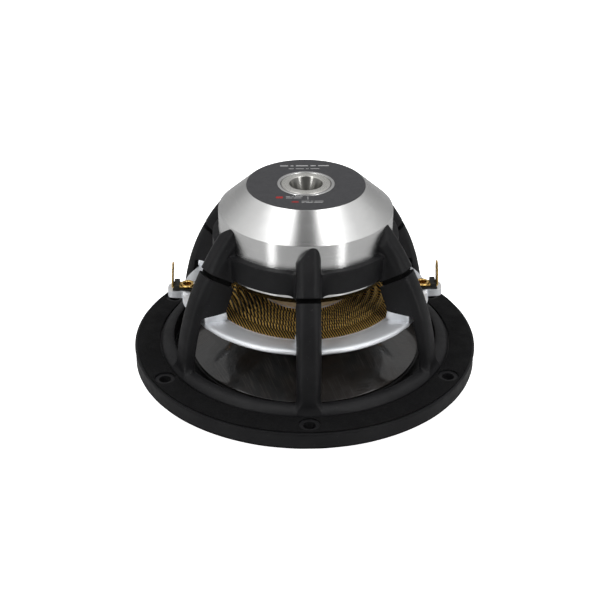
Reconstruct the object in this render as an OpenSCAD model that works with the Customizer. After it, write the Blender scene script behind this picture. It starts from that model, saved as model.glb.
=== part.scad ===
// Loudspeaker driver with an open six-legged frame, standing on its front flange.
// Millimetres. Z = 0 is the flange's front face, +Z points to the rear of the driver.
// Each leg direction is a multiple of 60 degrees from -Y, and the terminals lie on +X and -X.

/* [Flange] */
// Outside diameter of the mounting flange
flange_d = 151; // [146:0.5:151]
// Height of the flange with its rear gasket
flange_h = 8; // [7.6:0.1:8.6]
// Thickness of the foam gasket on the flange's rear face
gasket_t = 0.8; // [0.5:0.1:1.2]
// Diameter of the circle through the mounting holes
hole_circle_d = 139; // [136:0.1:140]
// Diameter of each mounting hole
hole_d = 5.2; // [4.2:0.1:5.6]
// Diameter of the frame's clear opening behind the surround
opening_d = 116.4; // [116:0.1:117]

/* [Legs] */
// Number of legs
leg_count = 6; // [6:1:6]
// Width of a leg
leg_w = 10.1; // [9:0.1:11]
// Radius of the rounded outer edges of a leg
leg_edge_r = 3.4; // [2:0.1:4]
// Depth of the lower part of a leg
leg_depth = 4.5; // [4:0.1:4.6]
// Width of the gap between the frame's legs and the motor cage's arms
seam_gap = 2; // [1.6:0.1:2.4]

/* [Motor] */
// Diameter of the motor cup
cup_d = 74.2; // [74:0.1:74.4]
// Overall height of the driver
driver_h = 82; // [81.6:0.1:83]
// Diameter of the rear label
label_d = 50; // [46:0.5:52]
// Diameter of the steel top plate
plate_d = 77; // [76.6:0.1:77.2]
// Diameter of the pole piece
pole_d = 34.4; // [34:0.1:34.6]
// Diameter of the vent through the pole piece
vent_d = 9.2; // [7:0.1:10]

/* [Moving parts] */
// Outside diameter of the voice coil former
former_d = 36.8; // [36.7:0.05:36.9]
// Diameter of the cone at its outer edge
cone_d = 100.8; // [99:0.1:101.4]
// Depth of the cone from its neck to its edge
cone_depth = 21.6; // [19:0.1:22]
// Number of corrugations in the spider
spider_waves = 5; // [4:1:6]
// Travel of the cone each way
cone_travel = 4; // [3:0.1:4.5]

/* [Terminals] */
// Distance of each terminal's rivet from the axis
rivet_at = 51.5; // [51:0.1:52]
// Width of a terminal tab
tab_w = 4.8; // [4:0.1:5]
// Height of the top of a terminal tab
tab_top_z = 44.7; // [42:0.1:46]

/* [Hidden] */
$fn = 96;

leg_angles = [for (i = [0:leg_count - 1]) i * 360 / leg_count - 90];
eps = 0.01;
glue = 0.05;           // clearance of a glued or tapped fit
air = 0.4;             // clearance each side of the moving coil

// Flange
flange_r = flange_d / 2;
metal_h = flange_h - gasket_t;
open_r = opening_d / 2;
ledge_z = 4.2;         // depth of the surround's seat from the front face
ledge_r = 63;
ridge_r = 4.3;         // radius of the rounded ridge round the opening
ridge_c = open_r + 1.6;
crest_z = metal_h + 3.4;
collar_r = 4.4;        // clear hole in the gasket round each mounting hole
sink_r = 4.8;          // counterbore for a screw head in the front face
sink_h = 3.2;

// The legs' outer edge is one arc in the plane of the leg
arc_r = 100;
arc_at = [open_r + leg_depth + 0.2 - arc_r, 3.5];

// Seam between legs and arms: a straight line in the plane of the leg
seam_at = [38, 45.65];
seam_tilt = 34;
seam_half = seam_gap / 2 / cos(seam_tilt);

// Spider ring
ring_in_r = 36;
ring_out_r = 52.6;
ring_side_r = 54;
ring_bot_z = 27.6;
ring_rim_z = 29.4;
land_z = 30;           // face that the spider is glued to
pad_top_z = 34.3;
pad_in_r = 42;
pad_out_r = 53.3;
pad_w = 9.4;
ear_span = 56;         // sector of the ring that is wider, round each ear
ear_end_r = 60;
ear_w = 8.4;
ear_top_z = 32.4;
ear_bot_z = 28.9;
ear_corner_r = 2.6;

// Frame screws, M3 x 30 socket head
screw_at = 44.8;
screw_r = 1.5;
screw_len = 30;
screw_head_r = 2.75;
screw_head_h = 3;
screw_key = 2.5;

// Motor
cup_r = cup_d / 2;
plate_r = plate_d / 2;
plate_bot_z = 44.8;
plate_top_z = 49.8;
cage_wall = 2.7;
cage_top_z = 60.2;
// Every arm's tip slopes down to one side, along this arc seen from outside
tip_c = [8.7, 57];
tip_r = 15.4;
cup_wall = 2.9;
crease_z = 71.2;
cup_inner_z = driver_h - 11;
label_r = label_d / 2;
label_t = 0.2;
label_z = driver_h - 0.4;
hub_r = 12.1;
boss_r = 10.4;
boss_gap = 0.2;        // fine groove between the yoke's boss and the cup
magnet_top_z = 62;
yoke_r = cup_r - cup_wall - 0.4;
pole_r = pole_d / 2;
sleeve_t = 0.5;
pole_front_z = 44.2;
vent_r = vent_d / 2;
vent_mouth_r = 7.1;

// Moving parts
former_r = former_d / 2;
former_t = 0.3;
coil_t = 0.7;
coil_z = [39.3, 55.3];
collar_t = 0.5;
collar_z = [30.8, 38.2];
cone_r = cone_d / 2;
cone_t = 0.5;
cone_edge_z = 4.8;
roll_in_r = cone_r + 0.8;
roll_out_r = open_r - 0.6;
sheet_t = 0.45;        // thickness of the spider and of the surround
cap_rim_r = 21.5;
cap_rise = 7;

// Terminals
plate_t = 0.8;
tab_t = 0.8;
tab_out_r = 58.3;
tab_in_r = 46.8;
tab_lean = 3.5;
block_r = [54.9, 57.2];
block_top_z = 34.9;
barrel_r = 2.1;
rivet_bore_r = 1.7;
rivet_rim_r = 3.2;
lead_r = 0.6;

function seam_z(r) = seam_at[1] + (r - seam_at[0]) * tan(seam_tilt);
function arc_points(c, r, a0, a1, steps) =
    [for (i = [0:steps]) let (a = a0 + (a1 - a0) * i / steps) c + r * [cos(a), sin(a)]];
function raised(points, dz) = [for (p = points) p + [0, dz]];
function reversed(points) = [for (i = [len(points) - 1:-1:0]) points[i]];
function sheet(points, t) = concat(points, reversed(raised(points, t)));

// ---- shapes shared by several parts ----

// Solid of revolution from an outline in radius and height
module turned(outline) {
    rotate_extrude() polygon(outline);
}

module tube(r_in, r_out, z0, z1) {
    turned([[r_in, z0], [r_out, z0], [r_out, z1], [r_in, z1]]);
}

// Child placed along every leg direction, with X pointing outwards
module at_legs() {
    for (a = leg_angles) rotate(a) children();
}

// Flat plate standing in the plane of a leg, from an outline in radius and height
module upright(outline, w) {
    rotate([90, 0, 0]) linear_extrude(height = w, center = true) polygon(outline);
}

// Bar with rounded outer edges bent round the legs' common arc
module arched_bar(depth) {
    half = leg_w / 2;
    flat = half - leg_edge_r;
    section = concat(
        [[arc_r - depth, half], [arc_r - depth, -half]],
        arc_points([arc_r - leg_edge_r, -flat], leg_edge_r, -90, 0, 8),
        arc_points([arc_r - leg_edge_r, flat], leg_edge_r, 0, 90, 8));
    translate([arc_at[0], 0, arc_at[1]]) rotate([90, 0, 0]) rotate_extrude() polygon(section);
}

module drilled(r, at, z0, z1) {
    translate([at, 0, z0]) cylinder(r = r, h = z1 - z0, $fn = 48);
}

// ---- frame ----

module flange_body() {
    turned(concat(
        [[open_r, ledge_z], [ledge_r, ledge_z], [ledge_r, 0.5], [ledge_r + 0.5, 0]],
        arc_points([flange_r - 1, 1], 1, -90, 0, 6),
        arc_points([flange_r - 0.6, metal_h - 0.6], 0.6, 0, 90, 4),
        arc_points([ridge_c, crest_z - ridge_r], ridge_r, 12, 90, 10),
        [[open_r + 0.6, crest_z], [open_r, crest_z - 0.6]]));
}

// Lower leg from the flange up to the spider ring, and the deep web above it
module leg() {
    intersection() {
        arched_bar(leg_depth);
        upright([[50, 6.5], [66, 6.5], [66, pad_top_z + 1], [50, pad_top_z + 1]], leg_w + 1);
    }
    intersection() {
        arched_bar(20);
        upright([
            [pad_in_r + 0.2, pad_top_z], [66, pad_top_z], [66, seam_z(66) - seam_half],
            [seam_at[0] + 0.2, seam_z(seam_at[0] + 0.2) - seam_half], [40, 40.7]], leg_w + 1);
    }
}

// Narrow tenon that bridges the seam and carries the motor cage
module tenon() {
    translate([seam_at[0], 0, seam_at[1]]) rotate([0, -seam_tilt, 0])
        translate([1.6, -3.05, -seam_gap / 2 - 1]) cube([9.3, 6.1, seam_gap + 1]);
}

module basket() {
    color("#2b2b2e") difference() {
        union() {
            flange_body();
            at_legs() leg();
            at_legs() tenon();
        }
        at_legs() drilled(hole_d / 2, hole_circle_d / 2, -1, flange_h + 1);
        at_legs() drilled(sink_r, hole_circle_d / 2, -1, sink_h);
        at_legs() drilled(screw_r + 0.1, screw_at, ring_bot_z, seam_z(screw_at) + 4);
    }
}

module flange_gasket() {
    color("#151517") difference() {
        tube(ridge_c + ridge_r + 0.5, flange_r - 0.8, metal_h, flange_h);
        at_legs() drilled(collar_r, hole_circle_d / 2, metal_h - 1, flange_h + 1);
    }
}

module arm() {
    intersection() {
        arched_bar(20);
        upright([[30, seam_z(30) + seam_half], [66, seam_z(66) + seam_half], [66, 74], [30, 74]],
            leg_w + 1);
        rotate([90, 0, 90]) linear_extrude(height = flange_r) polygon(concat(
            [[tip_c[0], 40], [tip_c[0], tip_c[1] + tip_r]],
            arc_points(tip_c, tip_r, 100, 165, 8), [[tip_c[0] - tip_r, 40]]));
    }
}

module motor_cage() {
    color("#2b2b2e") difference() {
        union() {
            turned([
                [cup_r, plate_top_z], [cup_r + cage_wall, plate_top_z],
                [cup_r + cage_wall, cage_top_z - 1], [cup_r + cage_wall - 0.3, cage_top_z - 0.3],
                [cup_r + cage_wall - 1, cage_top_z], [cup_r, cage_top_z]]);
            at_legs() arm();
        }
        cylinder(r = cup_r, h = driver_h);
        cylinder(r = plate_r, h = plate_top_z);
        at_legs() drilled(screw_r + glue, screw_at, ring_bot_z, ring_bot_z + screw_len + 0.4);
    }
}

// ---- spider ring with the terminal ears ----

module ring_section() {
    round_r = 1.7;
    polygon(concat(
        [[ring_in_r, ring_bot_z], [ring_out_r - 4, ring_bot_z], [ring_out_r, ring_rim_z]],
        arc_points([ring_out_r - round_r, ring_rim_z + 0.8], round_r, 0, 80, 6),
        [[ring_out_r - 3.5, 31.6], [44.5, 30.9], [41.4, land_z], [ring_in_r, land_z]]));
}

// Wider part of the ring that carries an ear
module ledge_section() {
    polygon([
        [45.5, 28.6], [51, 28.6], [ring_side_r, ring_rim_z], [ring_side_r, 31],
        [ring_side_r - 1.2, 32.1], [47.6, 32.1], [45.5, 30.4]]);
}

module ear() {
    reach = ear_end_r - ear_corner_r;
    half = ear_w / 2 - ear_corner_r;
    translate([0, 0, ear_bot_z]) linear_extrude(height = ear_top_z - ear_bot_z) union() {
        translate([46, -ear_w / 2]) square([reach - 46, ear_w]);
        translate([46, -half]) square([ear_end_r - 46, 2 * half]);
        for (side = [-1, 1]) translate([reach, side * half]) circle(r = ear_corner_r);
    }
}

module spider_ring() {
    color("#c9ccd2") difference() {
        union() {
            rotate_extrude() ring_section();
            for (side = [0, 180]) rotate(side) {
                rotate(-ear_span / 2) rotate_extrude(angle = ear_span) ledge_section();
                ear();
            }
            at_legs() translate([pad_in_r, -pad_w / 2, ring_bot_z])
                cube([pad_out_r - pad_in_r, pad_w, pad_top_z - ring_bot_z]);
        }
        at_legs() drilled(screw_r + 0.1, screw_at, ring_bot_z - 1, pad_top_z + 1);
        for (side = [0, 180]) rotate(side) {
            drilled(barrel_r + glue, rivet_at, ring_bot_z - 1, ear_top_z + 1);
            drilled(rivet_rim_r + 0.1, rivet_at, ring_bot_z - 1, ear_bot_z);
        }
    }
}

module frame_screws() {
    color("#3a3a3c") at_legs() translate([screw_at, 0, ring_bot_z]) difference() {
        union() {
            cylinder(r = screw_r, h = screw_len, $fn = 48);
            translate([0, 0, -screw_head_h]) cylinder(r = screw_head_r, h = screw_head_h, $fn = 48);
        }
        translate([0, 0, -screw_head_h - 1])
            cylinder(d = screw_key / cos(30), h = 2.6, $fn = 6);
    }
}

// ---- motor ----

module motor_cup() {
    hub_z = driver_h;
    color("#cfd0d2") turned([
        [cup_r - cup_wall, plate_top_z], [cup_r, plate_top_z], [cup_r, crease_z],
        [label_r + 0.3, label_z], [hub_r, label_z], [hub_r, hub_z - 0.2], [hub_r - 0.2, hub_z],
        [boss_r + boss_gap, hub_z], [boss_r + boss_gap, cup_inner_z], [cup_r - cup_wall, cup_inner_z]]);
}

// Steel back plate, pole piece and vented rear boss in one piece
module pole_yoke() {
    mouth = 9;
    flare = [for (i = [0:6]) let (t = i / 6)
        [vent_r + (vent_mouth_r - vent_r) * pow(t, 1.6), driver_h - mouth * (1 - t)]];
    color("#b9babd") turned(concat(
        [[vent_r + 1.6, pole_front_z], [pole_r, pole_front_z], [pole_r, magnet_top_z],
        [yoke_r, magnet_top_z], [yoke_r, cup_inner_z], [boss_r, cup_inner_z],
        [boss_r, driver_h - 0.2], [boss_r - 0.2, driver_h]],
        reversed(flare),
        [[vent_r, pole_front_z + 3]]));
}

module ring_magnet() {
    color("#8f8f92") tube(22.5, 33, plate_top_z, magnet_top_z);
}

module top_plate() {
    bore_r = former_r + coil_t + air;
    color("#d6d7d9") turned([
        [bore_r, plate_bot_z], [plate_r - 2.3, plate_bot_z], [plate_r, plate_bot_z + 3.4],
        [plate_r, plate_top_z], [bore_r, plate_top_z]]);
}

module shorting_sleeve() {
    color("#b87345") tube(pole_r, pole_r + sleeve_t, pole_front_z + 0.4, 60);
}

module rear_label() {
    color("#4a4a4d") tube(hub_r + 0.1, label_r, label_z, label_z + label_t);
}

// ---- moving parts ----

module voice_coil_former() {
    color("#d8c6a0") tube(former_r - former_t, former_r, 24.6, coil_z[1] + 0.5);
}

module former_collar() {
    color("#cbb48a") tube(former_r, former_r + collar_t, collar_z[0], collar_z[1]);
}

module voice_coil_winding() {
    color("#b4653a") tube(former_r, former_r + coil_t, coil_z[0], coil_z[1]);
}

// Height of the cone's front face at a radius: steep at the neck, flatter at the edge
function cone_z(r) = let (u = (cone_r - r) / (cone_r - former_r))
    cone_edge_z + cone_depth * (0.65 * u + 0.35 * u * u);

module cone() {
    steps = 14;
    line = [for (i = [0:steps]) let (r = former_r + (cone_r - former_r) * i / steps) [r, cone_z(r)]];
    color("#1c1a19") turned(sheet(line, cone_t));
}

module dust_cap() {
    rim_z = cone_z(cap_rim_r) - 0.5;
    ball_r = (cap_rim_r * cap_rim_r + cap_rise * cap_rise) / (2 * cap_rise);
    span = asin(cap_rim_r / ball_r);
    line = arc_points([0, rim_z - cap_rise + ball_r], ball_r, -90, span - 90, 10);
    color("#1c1a19") turned(concat([[0, line[0][1]]], line, reversed(raised(line, 0.4))));
}

module spider() {
    wave_r = [20.6, 35.6];
    steps = 6 * spider_waves;
    waves = [for (i = [0:steps]) let (t = i / steps)
        [wave_r[0] + (wave_r[1] - wave_r[0]) * t, land_z + 1.1 * sin(180 * t) +
        1.1 * sin(360 * spider_waves * t)]];
    neck_r = former_r + collar_t + glue;
    line = concat([[neck_r, land_z + 1.6], [neck_r + 0.7, land_z + 0.4]], waves, [[41, land_z]]);
    color("#8a6a35") turned(sheet(line, sheet_t));
}

module surround() {
    roll = [for (i = [0:12]) let (a = 180 + 15 * i, t = i / 12)
        [(roll_in_r + roll_out_r) / 2 + (roll_out_r - roll_in_r) / 2 * cos(a),
        ledge_z - sheet_t + (roll_out_r - roll_in_r) / 2 * sin(a)]];
    line = concat([[cone_r - 1.6, ledge_z - sheet_t]], roll, [[ledge_r - 0.5, ledge_z - sheet_t]]);
    color("#141414") turned(sheet(line, sheet_t));
}

// ---- terminals, drawn on the +X side ----

module terminal_plate() {
    color("#232323") difference() {
        union() {
            translate([47.6, -3.4, ear_top_z]) cube([10.2, 6.8, plate_t]);
            translate([block_r[0], -3.2, ear_top_z])
                cube([block_r[1] - block_r[0], 6.4, block_top_z - ear_top_z]);
        }
        drilled(barrel_r + glue, rivet_at, ear_top_z - 1, ear_top_z + 2);
        translate([block_r[0] - 1, -tab_w / 2 - glue, ear_top_z + plate_t])
            cube([5, tab_w + 2 * glue, tab_t + glue]);
    }
}

module terminal_lug() {
    foot_z = ear_top_z + plate_t;
    rise = tab_top_z - foot_z;
    half = tab_w / 2;
    color("#d9b25a") union() {
        difference() {
            translate([tab_in_r, -half, foot_z]) cube([tab_out_r - 0.2 - tab_in_r, tab_w, tab_t]);
            drilled(barrel_r + glue, rivet_at, foot_z - 1, foot_z + 2);
        }
        translate([tab_out_r, 0, foot_z]) rotate([0, -tab_lean, 0]) rotate([90, 0, -90])
            linear_extrude(height = tab_t) difference() {
                polygon([[-half, 0], [half, 0], [half, 0.62 * rise], [0.9, rise], [-0.9, rise],
                    [-half, 0.62 * rise]]);
                translate([0, 0.7 * rise]) circle(r = 0.8, $fn = 32);
            }
    }
}

module terminal_rivet() {
    lug_z = ear_top_z + plate_t + tab_t;
    color("#e3c67a") translate([rivet_at, 0, 0]) turned([
        [rivet_bore_r, ear_bot_z - 0.5], [rivet_rim_r - 0.3, ear_bot_z - 0.5],
        [rivet_rim_r - 0.3, ear_bot_z], [barrel_r, ear_bot_z], [barrel_r, lug_z],
        [rivet_rim_r, lug_z], [rivet_rim_r - 0.25, lug_z + 0.45], [rivet_bore_r, lug_z + 0.45]]);
}

// Braided lead from the lug's inner end up over the spider and down to the former's collar
lead_route = [
    [48.1, 34.65], [46.4, 34.7], [44.8, 35.1], [43, 36], [40, 37.8], [36.5, 39.4], [33, 40.2],
    [29.5, 40.1], [26, 39.2], [23, 37.7], [21, 36.6], [19.55, 36]];

module tinsel_lead() {
    sides = 8;
    last = len(lead_route) - 1;
    rings = [for (i = [0:last]) let (
        d = lead_route[min(i + 1, last)] - lead_route[max(i - 1, 0)],
        n = [-d[1], d[0]] / norm(d))
        for (k = [0:sides - 1]) let (a = 360 * k / sides, p = lead_route[i] + lead_r * cos(a) * n)
            [p[0], lead_r * sin(a), p[1]]];
    caps = [[for (k = [0:sides - 1]) k], [for (k = [sides - 1:-1:0]) last * sides + k]];
    walls = [for (i = [0:last - 1], k = [0:sides - 1]) let (j = (k + 1) % sides)
        [i * sides + k, (i + 1) * sides + k, (i + 1) * sides + j, i * sides + j]];
    color("#b08a55") polyhedron(rings, concat(caps, walls));
}

basket();
flange_gasket();
motor_cage();
spider_ring();
frame_screws();
motor_cup();
pole_yoke();
ring_magnet();
top_plate();
shorting_sleeve();
rear_label();
voice_coil_former();
former_collar();
voice_coil_winding();
cone();
dust_cap();
spider();
surround();
rotate(180) terminal_plate();  // terminal_plate_left
terminal_plate();  // terminal_plate_right
rotate(180) terminal_lug();  // terminal_lug_left
terminal_lug();  // terminal_lug_right
rotate(180) terminal_rivet();  // terminal_rivet_left
terminal_rivet();  // terminal_rivet_right
rotate(180) tinsel_lead();  // tinsel_lead_left
tinsel_lead();  // tinsel_lead_right
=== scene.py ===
"""The looks of a loudspeaker driver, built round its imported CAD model.

Lengths in this script are in millimetres and angles in degrees, until a mesh is made.
Turned parts are outlines in radius and height, spun round Z. Cast and moulded parts are
subdivision surfaces on a lattice of cells. The rest is swept or extruded.
"""
import math

import bmesh
import bpy
import numpy as np
from mathutils import Matrix, Quaternion, Vector


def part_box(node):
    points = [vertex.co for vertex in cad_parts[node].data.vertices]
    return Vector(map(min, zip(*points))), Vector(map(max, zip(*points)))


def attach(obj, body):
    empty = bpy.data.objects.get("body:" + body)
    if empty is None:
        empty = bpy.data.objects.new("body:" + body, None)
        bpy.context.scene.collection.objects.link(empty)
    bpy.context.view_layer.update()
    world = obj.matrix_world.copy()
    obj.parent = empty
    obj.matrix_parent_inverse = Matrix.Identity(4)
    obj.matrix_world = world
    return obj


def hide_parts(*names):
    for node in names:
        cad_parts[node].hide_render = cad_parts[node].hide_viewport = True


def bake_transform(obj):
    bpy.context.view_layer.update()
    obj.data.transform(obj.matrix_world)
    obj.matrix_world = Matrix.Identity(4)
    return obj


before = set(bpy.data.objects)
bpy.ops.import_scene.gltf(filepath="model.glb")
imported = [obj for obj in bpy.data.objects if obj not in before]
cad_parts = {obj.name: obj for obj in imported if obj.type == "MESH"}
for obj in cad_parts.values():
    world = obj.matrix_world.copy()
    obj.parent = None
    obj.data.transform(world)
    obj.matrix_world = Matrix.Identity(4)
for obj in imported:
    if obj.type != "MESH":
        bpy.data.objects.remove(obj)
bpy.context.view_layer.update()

MM = 0.001
FIXED = "frame"
MOVING = "cone_assembly"


def corners(node):
    """Lowest and highest corner of a CAD node, in millimetres."""
    return [[v / MM for v in corner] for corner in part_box(node)]


def highest(node, axis):
    return corners(node)[1]["xyz".index(axis)]


def heights(node):
    low, high = corners(node)
    return low[2], high[2]


# ---- sizes, from the CAD frame where it has them ----

FLANGE_R = highest("basket", "x")
GASKET_Z = heights("flange_gasket")
LEDGE_Z = highest("surround", "z")
LEDGE_R = highest("surround", "x") + 0.5
OPEN_R = 58.2
HOLE_AT = 69.5
HOLE_R = 2.6
SINK_R = 4.8
SINK_H = 3.2
COLLAR_R = 4.4
GASKET_IN_R = 64.6

LEGS = [-90 + 60 * i for i in range(6)]
LEG_HALF = 5.05
EDGE_R = 3.4
ARC_R = 100
ARC_AT = (-37.1, 3.5)
SEAM_AT = (38, 45.65)
SEAM_TILT = 34
SEAM_HALF = 1

CUP_R = highest("motor_cup", "x")
TOP_Z = highest("motor_cup", "z")
CAGE_Z = (49.8, 60.2)
PLATE_R = highest("top_plate", "x")
PLATE_Z = heights("top_plate")
LABEL_R = highest("rear_label", "x")
LABEL_Z = heights("rear_label")
BOSS_R = 10.4
HUB_R = 12.1
VENT_MOUTH_R = 7.1
FORMER_R = highest("voice_coil_former", "x")
LAND_Z = 30
RING_Z, PAD_Z = heights("spider_ring")
EAR_END = highest("spider_ring", "x")
EAR_Z = (29.3, heights("terminal_plate_right")[0])
SCREW_AT = 44.8
SCREW_R = 1.5
RIVET_AT = 51.5
RIVET_R = 2.1
TAB_R = (46.8, 58.3)
TAB_T = 0.8
TAB_HALF = 2.4
CONE_R = highest("cone", "x")


# ---- points and outlines ----

def arc(centre, radius, start, stop, steps):
    turns = np.radians(np.linspace(start, stop, steps + 1))
    return [(centre[0] + radius * math.cos(t), centre[1] + radius * math.sin(t)) for t in turns]


def rounded(outline, radius, steps=4):
    """A closed outline with a small round on each corner."""
    points = [np.array(p, float) for p in outline]
    made = []
    for i, corner in enumerate(points):
        before, after = points[i - 1] - corner, points[(i + 1) % len(points)] - corner
        size = [np.linalg.norm(before), np.linalg.norm(after)]
        bend = math.acos(np.clip(before @ after / (size[0] * size[1]), -1, 1))
        back = min(radius / math.tan(bend / 2), 0.45 * min(size)) if bend < 3.1 else 0
        if bend > math.radians(160) or back < 1e-4:
            made.append(tuple(corner))
            continue
        start, stop = corner + before / size[0] * back, corner + after / size[1] * back
        for t in np.linspace(0, 1, steps + 1):
            made.append(tuple((1 - t) ** 2 * start + 2 * t * (1 - t) * corner + t * t * stop))
    return made


def band(line, thickness):
    """A closed outline of that thickness above an open line."""
    return list(line) + [(r, z + thickness) for r, z in reversed(line)]


def polar(radius, turn, z):
    return (radius * math.cos(turn), radius * math.sin(turn), z)


def skin(rings, loop=False):
    """Vertices and faces over rings of points. The ends are capped, or joined in a loop."""
    count, last = len(rings[0]), len(rings) - 1
    faces = []
    for k in range(last + loop):
        here, there = k * count, (k + 1) % len(rings) * count
        faces += [(here + i, there + i, there + (i + 1) % count, here + (i + 1) % count)
                  for i in range(count)]
    if not loop:
        faces += [tuple(range(count)), tuple(last * count + i for i in range(count))[::-1]]
    return [tuple(point) for ring in rings for point in ring], faces


def lathe(outline, segments=192):
    """A closed outline in radius and height, spun round Z."""
    turns = np.linspace(0, 2 * math.pi, segments, endpoint=False)
    return skin([[polar(r, t, z) for r, z in outline] for t in turns], loop=True)


def prism(outline, low, high):
    """A flat outline drawn out from one height to another."""
    return skin([[(x, y, z) for x, y in outline] for z in (low, high)])


def turned_about(verts, degrees):
    t = math.radians(degrees)
    c, s = math.cos(t), math.sin(t)
    return [(x * c - y * s, x * s + y * c, z) for x, y, z in verts]


def joined(*parts):
    """One list of vertices and faces from several."""
    verts, faces = [], []
    for more_verts, more_faces in parts:
        faces += [tuple(i + len(verts) for i in face) for face in more_faces]
        verts += list(more_verts)
    return verts, faces


# ---- objects ----

def placed(name, data):
    """A new object in the scene."""
    obj = bpy.data.objects.new(name, data)
    bpy.context.scene.collection.objects.link(obj)
    return obj


def new_object(name, verts, faces):
    mesh = bpy.data.meshes.new(name)
    mesh.from_pydata([[c * MM for c in v] for v in verts], [], [list(f) for f in faces])
    bm = bmesh.new()
    bm.from_mesh(mesh)
    bmesh.ops.remove_doubles(bm, verts=bm.verts, dist=0.0005 * MM)
    bmesh.ops.delete(bm, geom=[e for e in bm.edges if not e.link_faces], context="EDGES")
    bmesh.ops.recalc_face_normals(bm, faces=bm.faces)
    bm.to_mesh(mesh)
    bm.free()
    return placed(name, mesh)


def modify(obj, kind, **settings):
    modifier = obj.modifiers.new(kind, kind)
    for key, value in settings.items():
        setattr(modifier, key, value)


def evaluated(obj):
    """An object as its modifiers leave it."""
    bpy.context.view_layer.update()
    return obj.evaluated_get(bpy.context.evaluated_depsgraph_get())


def apply_modifiers(obj):
    mesh = bpy.data.meshes.new_from_object(evaluated(obj))
    obj.modifiers.clear()
    obj.data = mesh


def carve(obj, verts, faces):
    """Cuts closed shapes out of an object."""
    cutter = new_object(obj.name + "_cutter", verts, faces)
    modify(obj, "BOOLEAN", object=cutter, solver="EXACT")
    apply_modifiers(obj)
    bpy.data.objects.remove(cutter)


def soften(obj, width, angle=38):
    """Small rounds on an object's sharp edges."""
    modify(obj, "BEVEL", width=width * MM, segments=2, limit_method="ANGLE",
           angle_limit=math.radians(angle), use_clamp_overlap=True, miter_outer="MITER_ARC")
    apply_modifiers(obj)


def dress(obj, body, material, stands_for=(), sharp=35):
    """Gives an object its shading, its material, and the body that it rides on."""
    mesh = obj.data
    mesh.polygons.foreach_set("use_smooth", [True] * len(mesh.polygons))
    mesh.set_sharp_from_angle(angle=math.radians(sharp))
    mesh.materials.clear()
    mesh.materials.append(material)
    if body:
        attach(obj, body)
    if stands_for:
        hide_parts(*stands_for)
    return obj


def turned_piece(name, outline, body, material, stands_for=(), segments=192, sharp=35):
    obj = new_object(name, *lathe(outline, segments))
    return dress(obj, body, material, stands_for, sharp)


def cylinders(radius, at, z_range, bearings, segments=48):
    """Closed upright cylinders at a distance from the axis, on each of the bearings."""
    low, high = z_range
    rod = lathe([(0, low), (radius, low), (radius, high), (0, high)], segments)
    rod = ([(x + at, y, z) for x, y, z in rod[0]], rod[1])
    return joined(*[(turned_about(rod[0], b), rod[1]) for b in bearings])


# ---- subdivision surfaces on a lattice of cells ----

SIDES = [
    ((-1, 0, 0), [(0, 0, 0), (0, 0, 1), (0, 1, 1), (0, 1, 0)]),
    ((1, 0, 0), [(1, 0, 0), (1, 1, 0), (1, 1, 1), (1, 0, 1)]),
    ((0, -1, 0), [(0, 0, 0), (1, 0, 0), (1, 0, 1), (0, 0, 1)]),
    ((0, 1, 0), [(0, 1, 0), (0, 1, 1), (1, 1, 1), (1, 1, 0)]),
    ((0, 0, -1), [(0, 0, 0), (0, 1, 0), (1, 1, 0), (1, 0, 0)]),
    ((0, 0, 1), [(0, 0, 1), (1, 0, 1), (1, 1, 1), (0, 1, 1)])]


def lattice(cells, columns, place):
    """The outer faces of a set of cells. Column numbers go round, and place puts each corner."""
    ids, verts, faces = {}, [], []
    for a, b, c in sorted(cells):
        for (da, db, dc), face in SIDES:
            if ((a + da) % columns, b + db, c + dc) in cells:
                continue
            row = []
            for ca, cb, cc in face:
                key = ((a + ca) % columns, b + cb, c + cc)
                if key not in ids:
                    ids[key] = len(verts)
                    verts.append(place(*key))
                row.append(ids[key])
            faces.append(tuple(row))
    return verts, faces


def subdivided(name, cells, columns, place, crease_angle=58, levels=2, rounds=8):
    """A lattice as a subdivision surface that passes through its corners, sharp where it folds
    outwards by more than crease_angle."""
    verts, faces = lattice(cells, columns, place)
    mesh = bpy.data.meshes.new(name)
    mesh.from_pydata([[c * MM for c in v] for v in verts], [], faces)
    bm = bmesh.new()
    bm.from_mesh(mesh)
    bmesh.ops.recalc_face_normals(bm, faces=bm.faces)
    crease = bm.edges.layers.float.new("crease_edge")
    for edge in bm.edges:
        if edge.calc_face_angle_signed(0) > math.radians(crease_angle):
            edge[crease] = 1
    bm.to_mesh(mesh)
    bm.free()
    obj = placed(name, mesh)
    modify(obj, "SUBSURF", levels=levels, render_levels=levels)
    wanted = np.array(verts, float) * MM
    control = wanted.copy()
    for _ in range(rounds):
        surface = evaluated(obj).data
        reached = np.empty(len(surface.vertices) * 3)
        surface.vertices.foreach_get("co", reached)
        control += 0.8 * (wanted - reached.reshape(-1, 3)[:len(wanted)])
        mesh.vertices.foreach_set("co", control.ravel())
        mesh.update()
    apply_modifiers(obj)
    return obj


def bearing(line, radius):
    """Angle of a lattice line at a radius. A line is (angle, distance beside it)."""
    return math.radians(line[0]) + math.asin(line[1] / radius)


def leg_point(phi, depth=0):
    """Radius and height on the legs' common arc, or inside it by depth."""
    t = math.radians(phi)
    size = ARC_R - depth
    return (ARC_AT[0] + size * math.cos(t), ARC_AT[1] + size * math.sin(t))


def seam_point(along, across):
    """Radius and height from the seam's middle line."""
    t = math.radians(SEAM_TILT)
    return (SEAM_AT[0] + along * math.cos(t) - across * math.sin(t),
            SEAM_AT[1] + along * math.sin(t) + across * math.cos(t))


def seam_reach(across, depth=0):
    """How far along the seam the legs' arc lies, or the arc inside it by depth."""
    t = math.radians(SEAM_TILT)
    start = Vector(seam_point(0, across)) - Vector(ARC_AT)
    ahead = start.dot(Vector((math.cos(t), math.sin(t))))
    return math.sqrt(ahead ** 2 - start.length_squared + (ARC_R - depth) ** 2) - ahead


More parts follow.
